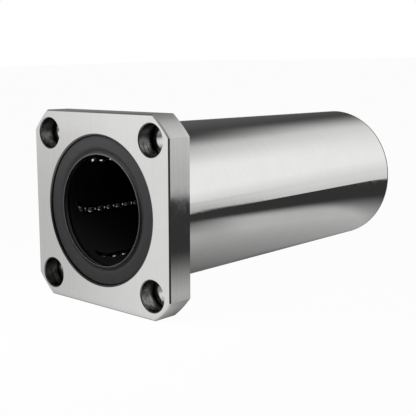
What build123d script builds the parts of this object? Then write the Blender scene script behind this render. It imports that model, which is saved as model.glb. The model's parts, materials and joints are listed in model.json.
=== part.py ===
from build123d import *
import math
import os

# Square flange linear ball bearing of the long type, for a 50 mm shaft.
# The bore axis lies along +Y and +Z is up. The origin is on that axis, in the flange's mounting face,
# so the flange's front face is at -Y and the sleeve runs to +Y. All lengths are in millimetres.

# Shaft and balls
shaft_d = 50.0
ball_d = 5.953
rows = 6                    # ball circuits round the bore, in each of the two cages
first_row_angle = 9.5       # of the first load row, in degrees from +X towards +Z

# Sleeve and flange, one piece of steel
length = 192.0
sleeve_wall = 6.487         # from the race to the outside, which makes the sleeve 75 mm across
flange_t = 13.0
flange_overhang = 6.5       # of the square's sides past the sleeve, for an 88 mm flange
flange_chamfer = 0.6
sleeve_chamfer = 1.0
root_relief_w = 1.2         # grinding relief where the sleeve meets the flange, along the sleeve
root_relief_face_w = 0.6    # the same across the mounting face
root_relief_depth = 0.4     # into both

# Bolt holes in the flange's corners
bolt_offset = 9.5           # of the bolt circle past the sleeve, for 94 mm
corner_margin = 9.0         # from the bolt circle to the turned corners, which lie on 112 mm
bolt_hole_d = 9.0
counterbore_d = 14.0
counterbore_depth = 8.1
counterbore_chamfer = 0.4
bolt_hole_chamfer = 0.3

# Seats in the two ends of the sleeve
seat_step = 2.687           # of the seat past the race, for 67.4 mm
seat_chamfer = 0.5
seal_recess = 1.0           # of the seal's face behind the end face
seal_t = 2.5
seal_edge = 0.6             # chamfer round the seal's face
end_ring_t = 1.5
spacer_t = 8.0              # ring between the two cages

# Lip of each seal
seal_face_gap = 3.2         # from the seal's flat face to the shaft
lip_groove_gap = 1.5        # from the bottom of the groove behind the lip to the shaft
lip_groove_depth = 0.9      # to which the seal's face slopes down
lip_t = 0.6
lip_rise = 0.3              # of the lip's tip in front of the seal's face
lip_land = 0.5              # length of the lip that faces the shaft
lip_back_rise = 0.7         # how far the lip's back leans away from the shaft

# Clearances, all radial or on one side
lip_gap = 0.02              # lip to shaft
race_gap = 0.06             # ball to race, in the load rows
ball_gap = 0.047            # from ball to ball in a straight row
turn_gap = 0.27             # the same in a turn
track_gap = 0.1             # ball to its track in the cage and to the return groove
turn_relief_gap = 0.2       # ball to the annular relief round a turn
cage_shaft_gap = 0.45
cage_race_gap = 0.15
cage_end_gap = 0.1
seat_gap = 0.05             # seal and end ring in their seat
end_ring_shaft_gap = 1.2
track_end_wall = 1.0        # least wall of the cage past a turn

# Worked out from the sizes above
shaft_r = shaft_d / 2
ball_r = ball_d / 2
pitch = ball_d + ball_gap
turn_r = ball_d + turn_gap                                  # three balls, 60 degrees apart, fill a turn
load_r = shaft_r + ball_r                                   # radius at which the loaded balls' centres lie
return_r = math.hypot(load_r, 2 * turn_r)                   # the same for the returning balls
race_r = shaft_r + ball_d + race_gap
sleeve_r = race_r + sleeve_wall
seat_r = race_r + seat_step
flange_half = sleeve_r + flange_overhang
bolt_circle_r = sleeve_r + bolt_offset
corner_r = bolt_circle_r + corner_margin
track_r = ball_r + track_gap
turn_relief_r = return_r + ball_r + turn_relief_gap
y_front = -flange_t
y_rear = length - flange_t
seat_depth = seal_recess + seal_t + end_ring_t
cage_space = (length - 2 * seat_depth - spacer_t) / 2
cage_l = cage_space - 2 * cage_end_gap
row_room = cage_l - 2 * (turn_r + track_r + track_end_wall)
balls_in_row = math.floor(row_room / pitch)
row_l = balls_in_row * pitch                                # straight part of a circuit
turn_balls = 3
turn_reach = row_l / 2 + turn_r + track_r                   # from a cage's middle to the end of its tracks
cage_middles = {
    "front": y_front + seat_depth + cage_space / 2,
    "rear": y_rear - seat_depth - cage_space / 2,
}


def turned(points):
    """A solid of revolution about the bore axis, from its (radius, y) outline."""
    return revolve(make_face(Polyline(points, close=True)), Axis.Y)


def ring(outer_r, inner_r, y_low, y_high):
    """A plain ring between two planes square to the bore axis."""
    return turned([(inner_r, y_low), (outer_r, y_low), (outer_r, y_high), (inner_r, y_high)])


def circuit_plane(row, y_middle):
    """One ball circuit's plane: X from its load row to its return row, Y along the bore, Z outwards."""
    angle = math.radians(first_row_angle + row * 360 / rows)
    outward = Vector(math.cos(angle), 0, math.sin(angle))
    across = Vector(math.sin(angle), 0, -math.cos(angle))
    middle = outward * load_r + across * turn_r + Vector(0, y_middle, 0)
    return Plane(origin=middle, x_dir=across, z_dir=outward)


def chamfered_slab(half_width, y_low, y_high, chamfer_size):
    """The outline of a slab across the bore axis, as (x, y) points, with its four edges chamfered."""
    inset = half_width - chamfer_size
    right = [
        (inset, y_low), (half_width, y_low + chamfer_size),
        (half_width, y_high - chamfer_size), (inset, y_high),
    ]
    left = [(-x, y) for x, y in reversed(right)]
    return right + left


def flange_blank():
    """A square slab with chamfered edges whose corners are turned to a circle."""
    outline = make_face(Polyline(chamfered_slab(flange_half, y_front, 0, flange_chamfer), close=True))
    across_x = extrude(outline, amount=corner_r, both=True)
    across_z = across_x.rotate(Axis.Y, 90)
    inset = corner_r - flange_chamfer
    disc = turned([
        (0, y_front), (inset, y_front), (corner_r, y_front + flange_chamfer),
        (corner_r, -flange_chamfer), (inset, 0), (0, 0),
    ])
    return across_x & across_z & disc


def bolt_hole():
    """One counterbored hole with broken edges, its axis on Y."""
    counterbore_r = counterbore_d / 2
    hole_r = bolt_hole_d / 2
    y_step = y_front + counterbore_depth
    return turned([
        (0, y_front - 1), (counterbore_r + counterbore_chamfer + 1, y_front - 1),
        (counterbore_r, y_front + counterbore_chamfer), (counterbore_r, y_step),
        (hole_r + bolt_hole_chamfer, y_step), (hole_r, y_step + bolt_hole_chamfer), (hole_r, 1), (0, 1),
    ])


def bolt_centres():
    """The four bolt places, on a square inside the bolt circle."""
    half_spacing = bolt_circle_r / math.sqrt(2)
    return [(x, z) for x in (-half_spacing, half_spacing) for z in (-half_spacing, half_spacing)]


def root_relief():
    """A small groove round the root of the sleeve, cut into the sleeve and into the mounting face."""
    bottom_r = sleeve_r - root_relief_depth
    face_r = sleeve_r + root_relief_face_w
    return turned([
        (bottom_r, -root_relief_depth), (face_r - root_relief_depth, -root_relief_depth), (face_r, 0),
        (face_r, root_relief_w + root_relief_depth), (sleeve_r, root_relief_w + root_relief_depth),
        (bottom_r, root_relief_w),
    ])


def turn_reliefs():
    """The (start, end) of each annular relief in the sleeve, round the turns, from front to rear."""
    spans = []
    for y_middle in cage_middles.values():
        spans.append((y_middle - turn_reach - turn_relief_gap, y_middle - row_l / 2))
        spans.append((y_middle + row_l / 2, y_middle + turn_reach + turn_relief_gap))
    return spans


def sleeve_cavity():
    """The hollow of the sleeve: a seat at each end, the race bore, and the reliefs round the turns."""
    outline = [(0, y_front - seat_chamfer), (seat_r + 2 * seat_chamfer, y_front - seat_chamfer)]
    outline += [(seat_r, y_front + seat_chamfer), (seat_r, y_front + seat_depth)]
    outline += [(race_r, y_front + seat_depth)]
    for y_start, y_end in turn_reliefs():
        outline += [(race_r, y_start), (turn_relief_r, y_start), (turn_relief_r, y_end), (race_r, y_end)]
    outline += [(race_r, y_rear - seat_depth), (seat_r, y_rear - seat_depth)]
    outline += [(seat_r, y_rear - seat_chamfer)]
    outline += [(seat_r + 2 * seat_chamfer, y_rear + seat_chamfer), (0, y_rear + seat_chamfer)]
    return turned(outline)


def return_grooves():
    """A round groove in the race bore for each unloaded row. The lands between carry the loaded rows."""
    grooves = []
    for y_middle in cage_middles.values():
        for row in range(rows):
            groove_l = row_l + 2 * turn_r
            line = Cylinder(track_r, groove_l, rotation=(90, 0, 0))
            grooves.append(circuit_plane(row, y_middle) * (Pos(turn_r, 0, 0) * line))
    return grooves


def flanged_sleeve():
    """The sleeve and its flange, one piece, with the ball races inside."""
    end_inset = sleeve_r - sleeve_chamfer
    barrel = turned([
        (0, -flange_t / 2), (sleeve_r, -flange_t / 2),
        (sleeve_r, y_rear - sleeve_chamfer), (end_inset, y_rear), (0, y_rear),
    ])
    body = flange_blank() + barrel
    body -= root_relief()
    body -= sleeve_cavity()
    body -= return_grooves()
    body -= [Pos(x, 0, z) * bolt_hole() for x, z in bolt_centres()]
    return body


def track_profile(x):
    """The section of a ball track at x: round below the balls' centres and open outwards."""
    opening = sleeve_r - load_r
    section = Pos(x, 0) * Circle(track_r) + Pos(x, opening / 2) * Rectangle(2 * track_r, opening)
    return Plane.XZ * section


def ball_track():
    """The space of one circuit in the cage: two straight tracks joined by two half turns."""
    straights = extrude(track_profile(turn_r) + track_profile(-turn_r), amount=row_l / 2, both=True)
    turn_axis = Axis((0, 0, 0), (0, 0, 1))
    rear_turn = Pos(0, row_l / 2, 0) * revolve(track_profile(turn_r), turn_axis, revolution_arc=180)
    front_turn = Pos(0, -row_l / 2, 0) * revolve(track_profile(-turn_r), turn_axis, revolution_arc=180)
    return straights + rear_turn + front_turn


def cage(y_middle):
    """A moulded cage: a tube with a closed ball track for each circuit, open inwards at the load rows."""
    outer_r = race_r - cage_race_gap
    inner_r = shaft_r + cage_shaft_gap
    body = ring(outer_r, inner_r, y_middle - cage_l / 2, y_middle + cage_l / 2)
    track = ball_track()
    body -= [circuit_plane(row, y_middle) * track for row in range(rows)]
    return body


def seal(y_face, inward):
    """A flat seal ring with a thin lip round the shaft. inward is the way in, +1 or -1 along Y."""
    lip_r = shaft_r + lip_gap
    rim_r = seat_r - seat_gap
    lip_round = lip_t / 2 - lip_rise
    outline = [
        (rim_r, seal_t), (rim_r, seal_edge), (rim_r - seal_edge, 0), (shaft_r + seal_face_gap, 0),
        (shaft_r + lip_groove_gap, lip_groove_depth), (lip_r + lip_t, lip_groove_depth),
        (lip_r + lip_t, lip_round), (lip_r + lip_t / 2, -lip_rise), (lip_r, lip_round),
        (lip_r, lip_round + lip_land), (lip_r + lip_back_rise, seal_t),
    ]
    return turned([(radius, y_face + inward * depth) for radius, depth in outline])


def end_ring(y_low):
    """The steel ring behind a seal, which keeps the cage in."""
    return ring(seat_r - seat_gap, shaft_r + end_ring_shaft_gap, y_low, y_low + end_ring_t)


def spacer_ring():
    """The ring that keeps the two cages apart."""
    y_low = (y_front + y_rear - spacer_t) / 2
    return ring(race_r - cage_race_gap, shaft_r + end_ring_shaft_gap, y_low, y_low + spacer_t)


def straight_row(plane, x):
    """One row of balls along the bore, at x in its circuit's plane."""
    first = (pitch - row_l) / 2
    places = [Pos(x, first + i * pitch, 0) for i in range(balls_in_row)]
    return Compound([plane * (place * Sphere(ball_r)) for place in places])


def turn_row(plane, y_centre, end):
    """The balls in a half turn about y_centre. end is +1 for the turn at +Y and -1 for the one at -Y."""
    step = 180 / turn_balls
    angles = [math.radians(end * (i + 0.5) * step) for i in range(turn_balls)]
    places = [Pos(turn_r * math.cos(a), y_centre + turn_r * math.sin(a), 0) for a in angles]
    return Compound([plane * (place * Sphere(ball_r)) for place in places])


def ball_circuits(cage_name):
    """The four ball groups of each circuit in one cage, by node name."""
    nodes = {}
    for row in range(rows):
        plane = circuit_plane(row, cage_middles[cage_name])
        stem = f"{cage_name}_circuit_{row + 1}"
        nodes[f"{stem}_load_row"] = straight_row(plane, -turn_r)
        nodes[f"{stem}_return_row"] = straight_row(plane, turn_r)
        nodes[f"{stem}_front_turn"] = turn_row(plane, -row_l / 2, -1)
        nodes[f"{stem}_rear_turn"] = turn_row(plane, row_l / 2, 1)
    return nodes


def all_nodes():
    """Every piece of the bearing, by node name."""
    nodes = {
        "flanged_sleeve": flanged_sleeve(),
        "front_seal": seal(y_front + seal_recess, 1),
        "rear_seal": seal(y_rear - seal_recess, -1),
        "front_end_ring": end_ring(y_front + seat_depth - end_ring_t),
        "rear_end_ring": end_ring(y_rear - seat_depth),
        "spacer_ring": spacer_ring(),
    }
    for name, y_middle in cage_middles.items():
        nodes[f"{name}_cage"] = cage(y_middle)
        nodes.update(ball_circuits(name))
    return nodes


os.makedirs("parts", exist_ok=True)
for node_name, shape in all_nodes().items():
    export_step(shape, f"parts/{node_name}.step")
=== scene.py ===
import json
import math

import bpy
import numpy
from mathutils import Matrix, Vector


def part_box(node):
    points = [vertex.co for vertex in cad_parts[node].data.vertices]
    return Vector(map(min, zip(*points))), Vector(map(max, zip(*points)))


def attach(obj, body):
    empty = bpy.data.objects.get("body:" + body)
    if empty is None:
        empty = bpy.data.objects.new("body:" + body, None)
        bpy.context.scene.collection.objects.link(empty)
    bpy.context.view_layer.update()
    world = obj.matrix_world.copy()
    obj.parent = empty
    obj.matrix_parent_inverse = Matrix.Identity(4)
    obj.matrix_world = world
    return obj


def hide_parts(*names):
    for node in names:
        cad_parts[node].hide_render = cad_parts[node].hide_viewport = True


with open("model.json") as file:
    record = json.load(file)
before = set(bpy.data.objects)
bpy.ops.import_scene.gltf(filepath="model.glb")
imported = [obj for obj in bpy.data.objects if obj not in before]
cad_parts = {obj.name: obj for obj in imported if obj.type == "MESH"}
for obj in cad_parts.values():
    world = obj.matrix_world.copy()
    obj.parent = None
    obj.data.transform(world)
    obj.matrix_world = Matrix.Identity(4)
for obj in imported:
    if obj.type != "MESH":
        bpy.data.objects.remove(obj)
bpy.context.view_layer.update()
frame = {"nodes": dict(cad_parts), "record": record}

# Looks of a long square flange linear bearing. The bore axis lies along +Y, the flange's front face looks to -Y
# and +Z is up. All lengths are in metres.

MM = 0.001

# What the scene takes from the frame
MOUNTS = {mount["name"]: mount for mount in frame["record"]["mounts"]}
FLANGE_LOW, REAR_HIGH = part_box("flanged_sleeve")
FLANGE_HALF = REAR_HIGH.x
Y_FRONT = FLANGE_LOW.y
Y_REAR = REAR_HIGH.y
Y_MIDDLE = (Y_FRONT + Y_REAR) / 2
HALF_LENGTH = (Y_REAR - Y_FRONT) / 2
SLEEVE_R = MOUNTS["sleeve_outside"]["dims"]["r_mm"] * MM
SHAFT_HOLE_R = MOUNTS["shaft_bore"]["dims"]["r_mm"] * MM
BOLT_OFFSET = MOUNTS["flange_bolts"]["dims"]["spacing_x_mm"] / 2 * MM
BOLT_HOLE_R = MOUNTS["flange_bolts"]["dims"]["hole_r_mm"] * MM

# Sizes of the flanged sleeve
COUNTERBORE_R = 7 * MM
COUNTERBORE_CHAMFER = 0.4 * MM
Y_STEP = Y_FRONT + 8.1 * MM     # the counterbore's floor
BOLT_HOLE_CHAMFER = 0.3 * MM
SEAT_R = 33.7 * MM              # of the seal's seat
SEAT_CHAMFER = 0.5 * MM
SLEEVE_CHAMFER = 1.0 * MM
FLANGE_CHAMFER = 0.6 * MM
END_EDGE = 0.8 * MM             # width of the dark edge beside the chamfer at the sleeve's far end

# Sizes of the moulded seals
SEAL_RECESS = 1.0 * MM          # of the seal's flat face behind the end of the sleeve
SEAL_T = 2.5 * MM
SEAL_FLAT_R = 28.2 * MM         # inner edge of the flat face
GROOVE_R = 26.6 * MM            # foot of the slope from that face to the groove
GROOVE_DEPTH = 0.9 * MM
LIP_T = 0.6 * MM
LIP_RISE = 0.3 * MM             # of the lip's tip in front of the flat face
LIP_LAND = 0.5 * MM             # how far behind the flat face the lip stays upright
LIP_BACK_RISE = 0.7 * MM        # how far the lip's back leans away from the shaft

# The camera stands in front of the flange, to its right and a little above the axis
CAMERA_PLACE = Vector((0.27685, -0.25313, 0.06108))
CAMERA_AHEAD = Vector((-0.65269, 0.74004, -0.16230))
CAMERA_RIGHT = Vector((0.75009, 0.66133, -0.00104))
LENS_MM = 71.57
SENSOR_MM = 36.0

# The lamps, which metal doesn't mirror: place, aim, side of the square in metres and power in watts
LAMPS = {
    "top_lamp": (Vector((0.3, -0.5, 0.9)), Vector((0, 0.08, 0)), 0.7, 1.5),
    "near_lamp": (Vector((0.0, -0.075, 0.105)), Vector((0, Y_FRONT, 0.01)), 0.08, 0.20),
}

# The room and its floor
ROOM_LIGHT = 0.06               # level of the world's light on matt surfaces
FLOOR_GLOW = 0.97               # share of the floor's white that takes no shadow
FLOOR_COLOUR = (0.9, 0.9, 0.9, 1)
FLOOR_REACH = 6.0

# In the next two lists a ramp is given by where it starts and ends, and then by its values there. Where these
# are left out, they are 0 and 1.

# The studio, as metal mirrors it. Angles are in degrees, and a level of 1 is white.
DARK = 0.03
SOFTBOX_EDGE = (-27.0, -2.0, 0.066, 0.666)      # by azimuth: the wide softbox's soft left edge
SOFTBOX_LEAN = (32.0, 44.0, 0.0, 9.0)           # by elevation: how far that edge moves to the right
SOFTBOX_GAIN = (-8.0, 26.0, 0.0, 0.26)          # by azimuth: what the softbox gains to the right
SOFTBOX_TOP = (28.0, 70.0, 1.0, 0.0)            # by elevation
SOFTBOX_FOOT = (-10.0, 12.0, 0.62, 1.0)         # by elevation
SOFTBOX_LOWER_EDGE = (-9.0, -8.0)               # by elevation: below it the studio is dark
WALL_GLOW = (-28.0, -42.0, 0.0, 0.04)           # by azimuth: the wall behind the sleeve
WALL_FOOT_SIDE = (-26.0, -34.0)                 # by azimuth: where its foot is lighter
WALL_FOOT = (9.0, 1.0, 0.0, 0.12)               # by elevation
OVERHEAD_SIDE = (-60.0, -90.0)                  # by azimuth: the dark over the left side
OVERHEAD_HEIGHT = (20.0, 40.0)                  # by elevation
LEFT_SIDE = (-89.0, -92.0)                      # by azimuth: the left side, square to the sleeve
LEFT_LEVEL = (34.0, 48.0, 0.24, 0.13)           # by elevation
BEHIND_SIDE = (70.0, 100.0)                     # by azimuth: the dark behind the camera
BEHIND_LEVEL = (40.0, 52.0, DARK, 0.30)         # by elevation
FRONT_SIDE = (-96.0, -112.0)                    # by azimuth: the part in front, at the left
FRONT_BOX_SIDE = (-165.0, -145.0)               # by azimuth: the second softbox
FRONT_BOX_TOP = (40.0, 25.0)                    # by elevation
FRONT_BOX_LEVEL = 0.85
SMALL_LAMP_AZIMUTH = -170.0
SMALL_LAMP_ELEVATION = 50.0
SMALL_LAMP_SIDE = (8.0, 5.0)                    # by the difference in azimuth
SMALL_LAMP_HEIGHT = (6.0, 4.0)                  # by the difference in elevation
SMALL_LAMP_LEVEL = 2.0

# The floor as metal mirrors it, a painted glow with painted shade; in metres, degrees of azimuth and levels
FLANGE_FOOT = 34 * MM                           # half the length of the flange's edge on the floor
SHEET_SLOPE = (6.2, 1.6)                        # weights of x and y in the white sheet's level
SHEET_LEVEL = (0.13, 0.50, 0.13, 0.49)          # by that sum
# Painted shade in the floor's glow, under the sleeve and round the flange's foot
TOUCHING_SIDE = (4 * MM, 17 * MM)               # by x: the shade under the sleeve
TOUCHING_LEVEL = (0.06, 0.10, 1.0, 0.55)        # by y: what it leaves of the level
BOARD_TURN = (0.889, 0.457)                     # weights of x and y in the distance to the near edge
BOARD_NEAR = 130 * MM                           # the black board, from the axis to its soft near edge
BOARD_NEAR_BY_Y = (0.06, 0.12, BOARD_NEAR - 22 * MM, BOARD_NEAR + 8 * MM)
BOARD_NEAR_AT_END = BOARD_NEAR - 4 * MM
BOARD_BLUR_BY_Y = (0.06, 0.12, 50 * MM, 20 * MM)
BOARD_BLUR_AT_END = 36 * MM
FAR_END = (0.165, 0.205)                        # by y: past the sleeve's far end
BOARD_LEVEL = 0.035
BOARD_FAR = 332 * MM                            # and to its far edge, which is bent a little
BOARD_FAR_BY_AZIMUTH = (20.0, 42.0, BOARD_FAR - 8 * MM, BOARD_FAR + 45 * MM)
BOARD_FAR_BLUR = 5 * MM
BESIDE_FLANGE = (44.0, 48.0)                    # by azimuth: where that edge is straight and softer
BESIDE_FLANGE_BLUR = 20 * MM
HORIZON_LEVEL = (32.0, 48.0, 0.65, 0.48)        # by azimuth: the floor past the board
HORIZON_GAIN = (0.34, 0.75, 0.0, 0.09)          # by distance
FRONT_SLANT = 1.15                              # how much of y is taken from x in front of the flange
FRONT_LEVEL = (-0.04, 0.06, 0.53, 0.755)        # by what is left
FRONT_AWAY = (0.0, 3.0)                         # by distance: from there to the level far in front
FAR_FRONT_LEVEL = (1.06, 1.33, 0.83, 0.68)      # by x over y
FRONT_DARK_SIDE = (0.042, 0.050)                # by x: the dark at the right, in front
PAST_FRONT = (-0.022, 0.007)                    # by y: from the floor in front to the rest
CONTACT_SHADE = (0.0, 6 * MM, 0.45, 1.0)        # by distance from the flange's edge on the floor
PAST_CONTACT_EDGE = (Y_FRONT - 1 * MM, Y_FRONT + 1 * MM)

# Colours, each with an opacity of 1
STEEL_TONES = ((0.845, 0.84, 0.83, 1), (0.905, 0.90, 0.89, 1))
STREAK_TONE = (0.62, 0.615, 0.605, 1)
GRAIN_TONE = (0.66, 0.655, 0.645, 1)
# Painted shade and light in the counterbores: shaded walls, lighter lower down, a shaded corner at the floor
DRILLED_SHADED = (0.12, 0.117, 0.114, 1)
DRILLED_BARE_AND_LIT = (0.88, 0.875, 0.87, 1)
DRILLED_CORNER_SHADE = (0.03, 0.03, 0.03, 1)
TURNED_AT_BOLTS = (0.36, 0.335, 0.315, 1)
TURNED_AT_SEAT = (0.20, 0.187, 0.175, 1)
# Painted shade on the seat's wall; also the dark band at the sleeve's far end
TURNED_DARK_AND_SEAT_SHADE = (0.07, 0.067, 0.064, 1)
RING_TONES = ((0.12, 0.12, 0.12, 1), (0.16, 0.16, 0.16, 1))
BALL_TONES = ((0.80, 0.80, 0.81, 1), (0.88, 0.88, 0.89, 1))
RESIN_TONES = ((0.004, 0.004, 0.004, 1), (0.009, 0.009, 0.009, 1))
RUBBER_TONES = ((0.038, 0.038, 0.039, 1), (0.056, 0.056, 0.059, 1))
# A painted highlight on the tip of the seal's lip
LIP_HIGHLIGHT_RUBBER = (0.095, 0.095, 0.097, 1)
HOLE_EDGE_RUBBER = (0.005, 0.005, 0.005, 1)

# Finishes
NOISE_SPAN = (0.3, 0.7)         # where most of a noise's values lie
STREAKS, STREAKS_ON_EDGES = 0.07, 0.22
TURNED_ROUGHNESS = 0.5
HOLE_EDGE_ROUGHNESS = 0.12
MATT_SPECULAR = 0.08            # of the resin and the rubber


class Nodes:
    """A node tree under construction, with a short call for each kind of node."""

    def __init__(self, tree):
        self.tree = tree
        tree.nodes.clear()

    def add(self, kind, **settings):
        """A new node with its settings."""
        node = self.tree.nodes.new(kind)
        for name, value in settings.items():
            setattr(node, name, value)
        return node

    def put(self, value, socket):
        """Links value to socket if it is an output, and else sets it there."""
        if isinstance(value, bpy.types.NodeSocket):
            self.tree.links.new(value, socket)
        else:
            socket.default_value = value

    def math(self, operation, *values):
        """The result of one sum, product or function."""
        node = self.add("ShaderNodeMath", operation=operation)
        for value, socket in zip(values, node.inputs):
            self.put(value, socket)
        return node.outputs[0]

    def total(self, first, second):
        """The sum of two values."""
        return self.math("ADD", first, second)

    def difference(self, first, second):
        """The first value less the second."""
        return self.math("SUBTRACT", first, second)

    def product(self, first, *others):
        """The product of two or more values."""
        for value in others:
            first = self.math("MULTIPLY", first, value)
        return first

    def magnitude(self, value):
        """The value without its sign."""
        return self.math("ABSOLUTE", value)

    def over(self, value, limit):
        """1 where the value is over the limit, and else 0."""
        return self.math("GREATER_THAN", value, limit)

    def under(self, value, limit):
        """1 where the value is under the limit, and else 0."""
        return self.math("LESS_THAN", value, limit)

    def either(self, first, second):
        """The larger of two values, which for two masks is 1 where either is."""
        return self.math("MAXIMUM", first, second)

    def weighed(self, x, y, weights):
        """The sum of x and y, each multiplied by its weight."""
        return self.total(self.product(x, weights[0]), self.product(y, weights[1]))

    def length(self, a, b):
        """The length of a line with the parts a and b, square to each other."""
        return self.math("SQRT", self.total(self.product(a, a), self.product(b, b)))

    def azimuth(self, x, y):
        """The direction of x, y from +Y towards +X, in degrees."""
        return self.math("DEGREES", self.math("ARCTAN2", x, y))

    def ramp(self, value, low, high, start=0.0, end=1.0, kind="SMOOTHSTEP"):
        """value carried from low..high to start..end, held flat past both."""
        node = self.add("ShaderNodeMapRange", interpolation_type=kind, clamp=True)
        names = ("Value", "From Min", "From Max", "To Min", "To Max")
        for item, name in zip((value, low, high, start, end), names):
            self.put(item, node.inputs[name])
        return node.outputs[0]

    def straight(self, value, low, high, start=0.0, end=1.0):
        """The same ramp with a straight slope."""
        return self.ramp(value, low, high, start, end, "LINEAR")

    def soft_edge(self, value, edge, blur):
        """0 before the edge and 1 past it, blurred by blur to either side."""
        return self.ramp(value, self.difference(edge, blur), self.total(edge, blur))

    def mix(self, share, first, second):
        """The first number at share 0, the second at share 1."""
        node = self.add("ShaderNodeMix", data_type="FLOAT")
        for value, number in ((share, 0), (first, 2), (second, 3)):
            self.put(value, node.inputs[number])
        return node.outputs[0]

    def blend(self, share, first, second):
        """The first colour at share 0, the second at share 1."""
        node = self.add("ShaderNodeMix", data_type="RGBA")
        for value, number in ((share, 0), (first, 6), (second, 7)):
            self.put(value, node.inputs[number])
        return node.outputs[2]

    def overlay(self, share, first, second):
        """The first shader at share 0, the second at share 1."""
        node = self.add("ShaderNodeMixShader")
        for value, socket in zip((share, first, second), node.inputs):
            self.put(value, socket)
        return node.outputs[0]

    def noise(self, place, scale, detail=3.0, roughness=0.5):
        """Smooth noise about 0.5."""
        node = self.add("ShaderNodeTexNoise")
        for value, name in ((place, "Vector"), (scale, "Scale"), (detail, "Detail"), (roughness, "Roughness")):
            self.put(value, node.inputs[name])
        return node.outputs[0]

    def vector(self, x, y, z):
        """A vector from its three parts."""
        node = self.add("ShaderNodeCombineXYZ")
        for value, socket in zip((x, y, z), node.inputs):
            self.put(value, socket)
        return node.outputs[0]

    def parts(self, vector):
        """The three parts of a vector."""
        node = self.add("ShaderNodeSeparateXYZ")
        self.put(vector, node.inputs[0])
        return node.outputs[0], node.outputs[1], node.outputs[2]


def studio_pattern(nodes):
    """How bright the studio is in each direction.

    A wide softbox stands at the right, its lower edge a little below the level, and fades to a dark wall behind
    the sleeve. A second softbox stands in front, at the left, with a small lamp over it. It is dark behind the
    camera, over the left side and under the first softbox.
    """
    x, y, z = nodes.parts(nodes.add("ShaderNodeTexCoord").outputs["Generated"])
    elevation = nodes.math("DEGREES", nodes.math("ARCSINE", z))
    azimuth = nodes.azimuth(x, y)
    fade = nodes.difference(azimuth, nodes.ramp(elevation, *SOFTBOX_LEAN))
    softbox = nodes.total(nodes.ramp(fade, *SOFTBOX_EDGE), nodes.straight(azimuth, *SOFTBOX_GAIN))
    softbox = nodes.product(softbox, nodes.ramp(elevation, *SOFTBOX_TOP))
    softbox = nodes.product(softbox, nodes.straight(elevation, *SOFTBOX_FOOT))
    wall_foot = nodes.product(nodes.ramp(azimuth, *WALL_FOOT_SIDE), nodes.ramp(elevation, *WALL_FOOT))
    wall = nodes.total(nodes.straight(azimuth, *WALL_GLOW), wall_foot)
    overhead = nodes.product(nodes.ramp(azimuth, *OVERHEAD_SIDE), nodes.ramp(elevation, *OVERHEAD_HEIGHT))
    beyond = nodes.mix(overhead, nodes.total(softbox, wall), DARK)
    beyond = nodes.mix(nodes.ramp(azimuth, *LEFT_SIDE), beyond, nodes.ramp(elevation, *LEFT_LEVEL))
    upper = nodes.mix(nodes.ramp(azimuth, *BEHIND_SIDE), beyond, nodes.ramp(elevation, *BEHIND_LEVEL))
    right = nodes.mix(nodes.ramp(elevation, *SOFTBOX_LOWER_EDGE), DARK, upper)

    front = nodes.product(nodes.ramp(azimuth, *FRONT_BOX_SIDE), nodes.ramp(elevation, *FRONT_BOX_TOP))
    front = nodes.mix(front, DARK, FRONT_BOX_LEVEL)
    beside_lamp = nodes.magnitude(nodes.difference(azimuth, SMALL_LAMP_AZIMUTH))
    above_lamp = nodes.magnitude(nodes.difference(elevation, SMALL_LAMP_ELEVATION))
    lamp = nodes.product(nodes.ramp(beside_lamp, *SMALL_LAMP_SIDE), nodes.ramp(above_lamp, *SMALL_LAMP_HEIGHT))
    front = nodes.mix(lamp, front, SMALL_LAMP_LEVEL)
    return nodes.mix(nodes.ramp(azimuth, *FRONT_SIDE), right, front)


def make_world():
    """A white room for the camera, a plain level of light for matt surfaces and the studio for metal."""
    world = bpy.data.worlds.new("studio")
    world.use_nodes = True
    nodes = Nodes(world.node_tree)
    rays = nodes.add("ShaderNodeLightPath")
    plain = nodes.mix(rays.outputs["Is Camera Ray"], ROOM_LIGHT, 1.0)
    level = nodes.mix(rays.outputs["Is Glossy Ray"], plain, studio_pattern(nodes))
    background = nodes.add("ShaderNodeBackground")
    background.inputs["Color"].default_value = (1, 1, 1, 1)
    nodes.put(level, background.inputs["Strength"])
    output = nodes.add("ShaderNodeOutputWorld")
    nodes.put(background.outputs[0], output.inputs["Surface"])
    bpy.context.scene.world = world


def make_camera():
    """The camera, level across, at the photograph's viewing angle."""
    ahead = CAMERA_AHEAD.normalized()
    right = (CAMERA_RIGHT - ahead * CAMERA_RIGHT.dot(ahead)).normalized()
    up = right.cross(ahead)
    data = bpy.data.cameras.new("camera")
    data.lens = LENS_MM
    data.sensor_width = SENSOR_MM
    data.clip_start = 10 * MM
    camera = bpy.data.objects.new("camera", data)
    turn = Matrix((right, up, -ahead)).transposed().to_4x4()
    camera.matrix_world = Matrix.Translation(CAMERA_PLACE) @ turn
    bpy.context.scene.collection.objects.link(camera)
    bpy.context.scene.camera = camera


def make_lamps():
    """A broad lamp above, and a small one over the flange's upper edge, in front of it."""
    for name, (place, aim, side, power) in LAMPS.items():
        data = bpy.data.lights.new(name, "AREA")
        data.size = side
        data.energy = power
        lamp = bpy.data.objects.new(name, data)
        turn = (aim - place).to_track_quat("-Z", "Y").to_matrix().to_4x4()
        lamp.matrix_world = Matrix.Translation(place) @ turn
        lamp.visible_glossy = False
        lamp.visible_camera = False
        bpy.context.scene.collection.objects.link(lamp)


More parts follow.
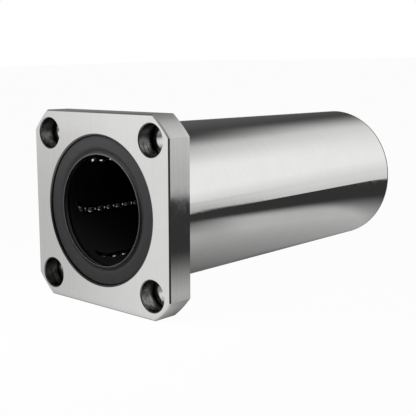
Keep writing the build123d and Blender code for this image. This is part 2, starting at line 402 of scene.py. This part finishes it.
def floor_beside(nodes, x, y):
    """The floor's level beside and behind the bearing.

    The white sheet has painted shade under the sleeve. The black board lies at the right, with a far edge
    that is bent a little, and past it the floor gets brighter towards the horizon.
    """
    sheet = nodes.straight(nodes.weighed(x, y, SHEET_SLOPE), *SHEET_LEVEL)
    # Painted shade under the sleeve
    sheet = nodes.product(sheet, nodes.ramp(x, *TOUCHING_SIDE, nodes.ramp(y, *TOUCHING_LEVEL), 1.0))
    from_axis = nodes.weighed(x, y, BOARD_TURN)
    far_end = nodes.ramp(y, *FAR_END)
    edge = nodes.mix(far_end, nodes.ramp(y, *BOARD_NEAR_BY_Y), BOARD_NEAR_AT_END)
    blur = nodes.mix(far_end, nodes.ramp(y, *BOARD_BLUR_BY_Y), BOARD_BLUR_AT_END)
    level = nodes.mix(nodes.soft_edge(from_axis, edge, blur), sheet, BOARD_LEVEL)

    distance = nodes.product(nodes.total(x, y), math.sqrt(0.5))
    azimuth = nodes.azimuth(x, y)
    beside_flange = nodes.ramp(azimuth, *BESIDE_FLANGE)
    far_edge = nodes.mix(beside_flange, nodes.straight(azimuth, *BOARD_FAR_BY_AZIMUTH), BOARD_FAR)
    far_blur = nodes.mix(beside_flange, BOARD_FAR_BLUR, BESIDE_FLANGE_BLUR)
    horizon = nodes.total(nodes.ramp(azimuth, *HORIZON_LEVEL), nodes.ramp(distance, *HORIZON_GAIN))
    return nodes.mix(nodes.soft_edge(distance, far_edge, far_blur), level, horizon)


def floor_in_front(nodes, x, y):
    """The floor's level in front of the flange: the lit sheet, with the dark at its right."""
    sideways = nodes.difference(x, nodes.product(y, FRONT_SLANT))
    away = nodes.product(nodes.total(x, y), -1.0)
    far = nodes.straight(nodes.math("DIVIDE", x, y), *FAR_FRONT_LEVEL)
    level = nodes.mix(nodes.straight(away, *FRONT_AWAY), nodes.ramp(sideways, *FRONT_LEVEL), far)
    return nodes.mix(nodes.ramp(x, *FRONT_DARK_SIDE), level, DARK)


def floor_pattern(nodes, x, y):
    """How bright the metal shows the floor at x, y, with painted shade round the flange's foot."""
    level = nodes.mix(nodes.ramp(y, *PAST_FRONT), floor_in_front(nodes, x, y), floor_beside(nodes, x, y))
    # Painted shade round the flange's edge on the floor
    beside = nodes.difference(nodes.magnitude(x), FLANGE_FOOT)
    before = nodes.difference(nodes.magnitude(nodes.difference(y, Y_FRONT / 2)), -Y_FRONT / 2)
    contact = nodes.ramp(nodes.either(beside, before), *CONTACT_SHADE)
    contact = nodes.mix(nodes.ramp(y, *PAST_CONTACT_EDGE), 1.0, contact)
    return nodes.product(level, contact)


def floor_material():
    """A white floor with a faint shadow, which metal sees as a painted glow with boards and shade."""
    material = bpy.data.materials.new("white_floor")
    material.use_nodes = True
    nodes = Nodes(material.node_tree)
    rays = nodes.add("ShaderNodeLightPath")
    paper = nodes.add("ShaderNodeBsdfDiffuse")
    paper.inputs["Color"].default_value = FLOOR_COLOUR
    glow = nodes.add("ShaderNodeEmission")
    glowing = nodes.product(rays.outputs["Is Camera Ray"], FLOOR_GLOW)
    seen = nodes.overlay(glowing, paper.outputs[0], glow.outputs[0])
    # For glossy rays the floor glows with a painted pattern, painted shade included
    painted_floor_glow = nodes.add("ShaderNodeEmission")
    x, y, _ = nodes.parts(nodes.add("ShaderNodeTexCoord").outputs["Object"])
    nodes.put(floor_pattern(nodes, x, y), painted_floor_glow.inputs["Strength"])
    output = nodes.add("ShaderNodeOutputMaterial")
    surface = nodes.overlay(rays.outputs["Is Glossy Ray"], seen, painted_floor_glow.outputs[0])
    nodes.put(surface, output.inputs["Surface"])
    return material


def make_floor():
    """A wide plane through the flange's lower edge and the sleeve's far end, on which the bearing rests."""
    near = Vector((0, -FLANGE_CHAMFER, -FLANGE_HALF))
    far = Vector((0, Y_REAR - SLEEVE_CHAMFER, -SLEEVE_R))
    along = (far - near).normalized() * FLOOR_REACH
    side = Vector((FLOOR_REACH, 0, 0))
    corners = [near + side * a + along * b for a, b in ((-1, -1), (1, -1), (1, 1), (-1, 1))]
    mesh = bpy.data.meshes.new("floor")
    mesh.from_pydata([tuple(corner) for corner in corners], [], [(0, 1, 2, 3)])
    mesh.materials.append(floor_material())
    floor = bpy.data.objects.new("floor", mesh)
    bpy.context.scene.collection.objects.link(floor)


def new_material(name):
    """A material with an empty tree, its Principled shader and the place in the object's own coordinates."""
    material = bpy.data.materials.new(name)
    material.use_nodes = True
    nodes = Nodes(material.node_tree)
    shader = nodes.add("ShaderNodeBsdfPrincipled")
    output = nodes.add("ShaderNodeOutputMaterial")
    nodes.put(shader.outputs[0], output.inputs["Surface"])
    place = nodes.add("ShaderNodeTexCoord").outputs["Object"]
    return material, nodes, shader, place


def add_bump(nodes, shader, height, strength, distance):
    """Fine relief on the shader's surface."""
    bump = nodes.add("ShaderNodeBump")
    bump.inputs["Strength"].default_value = strength
    bump.inputs["Distance"].default_value = distance
    nodes.put(height, bump.inputs["Height"])
    nodes.put(bump.outputs[0], shader.inputs["Normal"])


def drilled_tone_with_painted_light(nodes, place, y, z, tool_marks, from_bolt):
    """Counterbore colour: painted shade at the top and floor corner, painted light in streaks lower down."""
    above_bolt = nodes.difference(z, nodes.product(nodes.math("SIGN", z), BOLT_OFFSET))
    # Painted light: lighter streaks on the lower walls, where the light falls
    bare_and_lit = nodes.ramp(nodes.product(nodes.noise(place, 260.0, 3.0), tool_marks), 0.16, 0.36)
    bare_and_lit = nodes.product(bare_and_lit, nodes.ramp(above_bolt, 3 * MM, -3 * MM, 0.1, 0.8))
    # Painted shade in the corner where the wall meets the counterbore's floor
    at_floor = nodes.ramp(y, Y_STEP - 0.7 * MM, Y_STEP - 0.4 * MM)
    at_wall = nodes.ramp(from_bolt, COUNTERBORE_R - 0.9 * MM, COUNTERBORE_R - 0.5 * MM)
    tone = nodes.blend(bare_and_lit, DRILLED_SHADED, DRILLED_BARE_AND_LIT)
    return nodes.blend(nodes.product(at_floor, at_wall), tone, DRILLED_CORNER_SHADE)


def ground_steel():
    """Ground bearing steel, with drilled counterbores and turned edges.

    The grinding lines run round the axis on the sleeve and the flange's edges, and up and down its front face.
    The counterbores are rougher, with painted shade at their tops and floor corners and painted light
    lower down. The broken edges round them and round the seats and the edge at the sleeve's far end are
    turned and dull. The seat's wall is darker with painted shade, and the sleeve's far end has a dark band.
    """
    material, nodes, shader, place = new_material("ground_steel_finish")
    x, y, z = nodes.parts(place)
    normal = nodes.add("ShaderNodeNewGeometry").outputs["True Normal"]
    facing_front = nodes.ramp(nodes.magnitude(nodes.parts(normal)[1]), 0.80, 0.95)
    across = nodes.mix(facing_front, y, x)
    along = nodes.mix(facing_front, nodes.product(nodes.math("ARCTAN2", z, x), SLEEVE_R), z)
    line_place = nodes.vector(nodes.product(across, 4000.0), nodes.product(along, 60.0), 0.0)
    lines = nodes.noise(line_place, 1.0, 4.0, 0.6)
    band_place = nodes.vector(nodes.product(across, 1200.0), nodes.product(along, 15.0), 3.0)
    bands = nodes.noise(band_place, 1.0, 3.0)
    mark_place = nodes.vector(nodes.product(x, 150.0), nodes.product(y, 2500.0), nodes.product(z, 150.0))
    tool_marks = nodes.noise(mark_place, 1.0, 4.0, 0.6)
    cloud = nodes.noise(place, 70.0, 4.0)
    grain = nodes.noise(place, 1800.0, 2.0)
    blotches = nodes.noise(place, 220.0, 5.0, 0.65)

    # Masks of the surfaces, whose limits lie a little past the edges. The distance from the nearest bolt hole's
    # axis comes from folding the four into one quarter.
    from_axis = nodes.length(x, z)
    side = nodes.difference(nodes.magnitude(x), BOLT_OFFSET)
    height = nodes.difference(nodes.magnitude(z), BOLT_OFFSET)
    from_bolt = nodes.length(side, height)
    behind_face = nodes.difference(nodes.magnitude(nodes.difference(y, Y_MIDDLE)), HALF_LENGTH)
    bored = nodes.over(y, Y_FRONT + COUNTERBORE_CHAMFER - 0.03 * MM)
    in_hole = nodes.product(nodes.under(from_bolt, COUNTERBORE_R + 0.02 * MM), bored)
    past_bolt_hole = nodes.over(from_bolt, BOLT_HOLE_R + BOLT_HOLE_CHAMFER + 0.02 * MM)
    in_counterbore = nodes.product(in_hole, past_bolt_hole)
    on_edges = nodes.product(nodes.under(y, 0.1 * MM), nodes.difference(1.0, facing_front))
    near_seat = nodes.under(from_axis, SEAT_R + SEAT_CHAMFER + 0.25 * MM)
    at_seat = nodes.product(near_seat, nodes.over(behind_face, -SEAL_RECESS - 0.1 * MM))
    near_bolt = nodes.under(from_bolt, COUNTERBORE_R + COUNTERBORE_CHAMFER - 0.01 * MM)
    at_bolt = nodes.product(near_bolt, nodes.difference(1.0, bored))
    near_end = nodes.over(y, Y_REAR - SLEEVE_CHAMFER - END_EDGE)
    at_end = nodes.product(near_end, nodes.over(from_axis, SLEEVE_R - 0.2 * MM))
    turned = nodes.either(nodes.either(at_seat, at_bolt), at_end)
    # Painted shade on the seat's wall, where the seal's edge shades its recess; the sleeve's far end is dark
    # too
    seat_wall = nodes.product(at_seat, nodes.under(from_axis, SEAT_R + 0.05 * MM))
    dark = nodes.either(seat_wall, at_end)

    tone = nodes.blend(cloud, *STEEL_TONES)
    streaks = nodes.product(nodes.ramp(bands, *NOISE_SPAN), nodes.mix(on_edges, STREAKS, STREAKS_ON_EDGES))
    tone = nodes.blend(streaks, tone, STREAK_TONE)
    tone = nodes.blend(nodes.ramp(grain, 0.35, 0.65, 0.0, 0.10), tone, GRAIN_TONE)
    # The counterbores take their painted light and shade from here
    drilled = drilled_tone_with_painted_light(nodes, place, y, z, tool_marks, from_bolt)
    tone = nodes.blend(in_counterbore, tone, drilled)
    turned_tone = nodes.blend(at_seat, TURNED_AT_BOLTS, TURNED_AT_SEAT)
    turned_tone = nodes.blend(dark, turned_tone, TURNED_DARK_AND_SEAT_SHADE)
    nodes.put(nodes.blend(turned, tone, turned_tone), shader.inputs["Base Color"])
    shader.inputs["Metallic"].default_value = 1.0

    rough = nodes.total(nodes.ramp(lines, *NOISE_SPAN, 0.05, 0.09), nodes.ramp(blotches, 0.4, 0.7, 0.0, 0.05))
    rough = nodes.mix(in_hole, rough, nodes.ramp(tool_marks, *NOISE_SPAN, 0.30, 0.45))
    nodes.put(nodes.mix(turned, rough, TURNED_ROUGHNESS), shader.inputs["Roughness"])
    add_bump(nodes, shader, lines, 0.2, 0.008 * MM)
    return material


def cloudy_steel(name, scale, detail, tones, roughness):
    """Steel that changes between two tones and two roughnesses with a noise of the given scale and detail."""
    material, nodes, shader, place = new_material(name)
    cloud = nodes.noise(place, scale, detail)
    nodes.put(nodes.blend(cloud, *tones), shader.inputs["Base Color"])
    shader.inputs["Metallic"].default_value = 1.0
    nodes.put(nodes.ramp(cloud, *NOISE_SPAN, *roughness), shader.inputs["Roughness"])
    return material


def ring_steel():
    """Turned and blackened steel of the inner rings."""
    return cloudy_steel("ring_steel_finish", 400.0, 3.0, RING_TONES, (0.3, 0.4))


def ball_steel():
    """Polished chrome steel under a thin film of oil."""
    return cloudy_steel("ball_steel_finish", 900.0, 2.0, BALL_TONES, (0.04, 0.08))


def cage_resin():
    """Black moulded resin."""
    material, nodes, shader, place = new_material("cage_resin_finish")
    grain = nodes.noise(place, 3000.0, 3.0)
    nodes.put(nodes.blend(grain, *RESIN_TONES), shader.inputs["Base Color"])
    nodes.put(nodes.ramp(grain, *NOISE_SPAN, 0.45, 0.6), shader.inputs["Roughness"])
    shader.inputs["Specular IOR Level"].default_value = MATT_SPECULAR
    return material


def seal_rubber():
    """Dark grey seal rubber, matt with a fine grain.

    It is near black and glossier round the shaft's hole, and has a painted highlight on the edge of the lip.
    """
    material, nodes, shader, place = new_material("seal_rubber_finish")
    grain = nodes.noise(place, 2500.0, 4.0)
    x, y, z = nodes.parts(place)
    # Near black and glossier in a thin band round the shaft's hole
    near_hole_edge = nodes.ramp(nodes.length(x, z), SHAFT_HOLE_R + 0.12 * MM, SHAFT_HOLE_R + 0.02 * MM)
    from_middle = nodes.magnitude(nodes.difference(y, Y_MIDDLE))
    # Painted highlight: the lip's tip, in front of the flat face, is lighter
    face_from_middle = HALF_LENGTH - SEAL_RECESS
    lip_highlight = nodes.ramp(from_middle, face_from_middle + 0.1 * MM, face_from_middle + 0.2 * MM)
    dry = nodes.blend(lip_highlight, nodes.blend(grain, *RUBBER_TONES), LIP_HIGHLIGHT_RUBBER)
    nodes.put(nodes.blend(near_hole_edge, dry, HOLE_EDGE_RUBBER), shader.inputs["Base Color"])
    rough = nodes.mix(near_hole_edge, nodes.ramp(grain, *NOISE_SPAN, 0.38, 0.48), HOLE_EDGE_ROUGHNESS)
    nodes.put(rough, shader.inputs["Roughness"])
    shader.inputs["Specular IOR Level"].default_value = MATT_SPECULAR
    add_bump(nodes, shader, grain, 0.3, 0.03 * MM)
    return material


def round_corners(corners, steps=7):
    """The outline through (radius, depth, rounding) corners, each cut back by its rounding and bent round.

    The bend is the quadratic curve that starts on one side, ends on the other and has the corner as its middle
    point.
    """
    outline = []
    count = len(corners)
    for i in range(count):
        corner = numpy.array(corners[i][:2])
        rounding = corners[i][2]
        ends = []
        for other in (corners[i - 1], corners[(i + 1) % count]):
            side = numpy.array(other[:2]) - corner
            ends.append(corner + side / numpy.linalg.norm(side) * rounding)
        for share in numpy.linspace(0, 1, steps):
            bend = (1 - share) ** 2 * ends[0] + 2 * share * (1 - share) * corner + share ** 2 * ends[1]
            outline.append(bend)
    return numpy.array(outline)


def turned_piece(name, outline, around=240):
    """A closed surface of revolution about the bore axis.

    Point j of the outline, at radius r and place y, is carried round to (r cos a, y, r sin a) at even angles a.
    """
    angles = numpy.linspace(0, 2 * math.pi, around, endpoint=False)
    radius = outline[:, 0]
    count = len(outline)
    points = numpy.empty((around, count, 3))
    points[:, :, 0] = numpy.outer(numpy.cos(angles), radius)
    points[:, :, 1] = outline[:, 1]
    points[:, :, 2] = numpy.outer(numpy.sin(angles), radius)
    i, j = numpy.meshgrid(numpy.arange(around), numpy.arange(count), indexing="ij")
    next_i, next_j = (i + 1) % around, (j + 1) % count
    corners = (i * count + j, i * count + next_j, next_i * count + next_j, next_i * count + j)
    faces = numpy.stack(corners, axis=-1).reshape(-1, 4)
    mesh = bpy.data.meshes.new(name)
    mesh.from_pydata(points.reshape(-1, 3).tolist(), [], faces.tolist())
    mesh.shade_smooth()
    piece = bpy.data.objects.new(name, mesh)
    bpy.context.scene.collection.objects.link(piece)
    return piece


def make_seal(node, y_face, inward, finish):
    """A moulded seal: a flat ring with a soft outer edge, whose face dips to a groove behind the raised lip.

    The corners go from the rim over the face to the lip, with their depths behind the face. At the front end
    they are then taken the other way round, so that the faces look outwards at both ends.
    """
    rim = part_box(node)[1].x
    lip = SHAFT_HOLE_R
    corners = [
        (rim, SEAL_T, 0.1 * MM),
        (rim, 0.0, 0.6 * MM),
        (SEAL_FLAT_R, 0.0, 0.8 * MM),
        (GROOVE_R, GROOVE_DEPTH, 0.45 * MM),
        (lip + LIP_T, GROOVE_DEPTH, 0.1 * MM),
        (lip + LIP_T, -LIP_RISE, 0.25 * MM),
        (lip, -LIP_RISE, 0.25 * MM),
        (lip, LIP_LAND, 0.1 * MM),
        (lip + LIP_BACK_RISE, SEAL_T, 0.1 * MM),
    ]
    outline = round_corners(corners)
    outline[:, 1] = y_face + inward * outline[:, 1]
    if inward > 0:
        outline = outline[::-1]
    piece = turned_piece(node + "_moulding", outline)
    piece.data.materials.append(finish)
    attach(piece, "shell")
    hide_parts(node)


def make_seals(finish):
    """The seals at both ends of the sleeve."""
    make_seal("front_seal", Y_FRONT + SEAL_RECESS, 1, finish)
    make_seal("rear_seal", Y_REAR - SEAL_RECESS, -1, finish)


def finish_nodes():
    """Each CAD node gets the finish of its material slot."""
    finishes = {"ground_steel": ground_steel(), "ring_steel": ring_steel(), "ball_steel": ball_steel(),
                "cage_resin": cage_resin(), "seal_rubber": seal_rubber()}
    for row in frame["record"]["subparts"]:
        piece = frame["nodes"][row["node"]]
        for slot in piece.material_slots:
            slot.material = finishes[row["material_slot"]]
    return finishes


bpy.context.scene.view_settings.view_transform = "Standard"
make_world()
make_camera()
make_lamps()
make_floor()
finishes = finish_nodes()
make_seals(finishes["seal_rubber"])
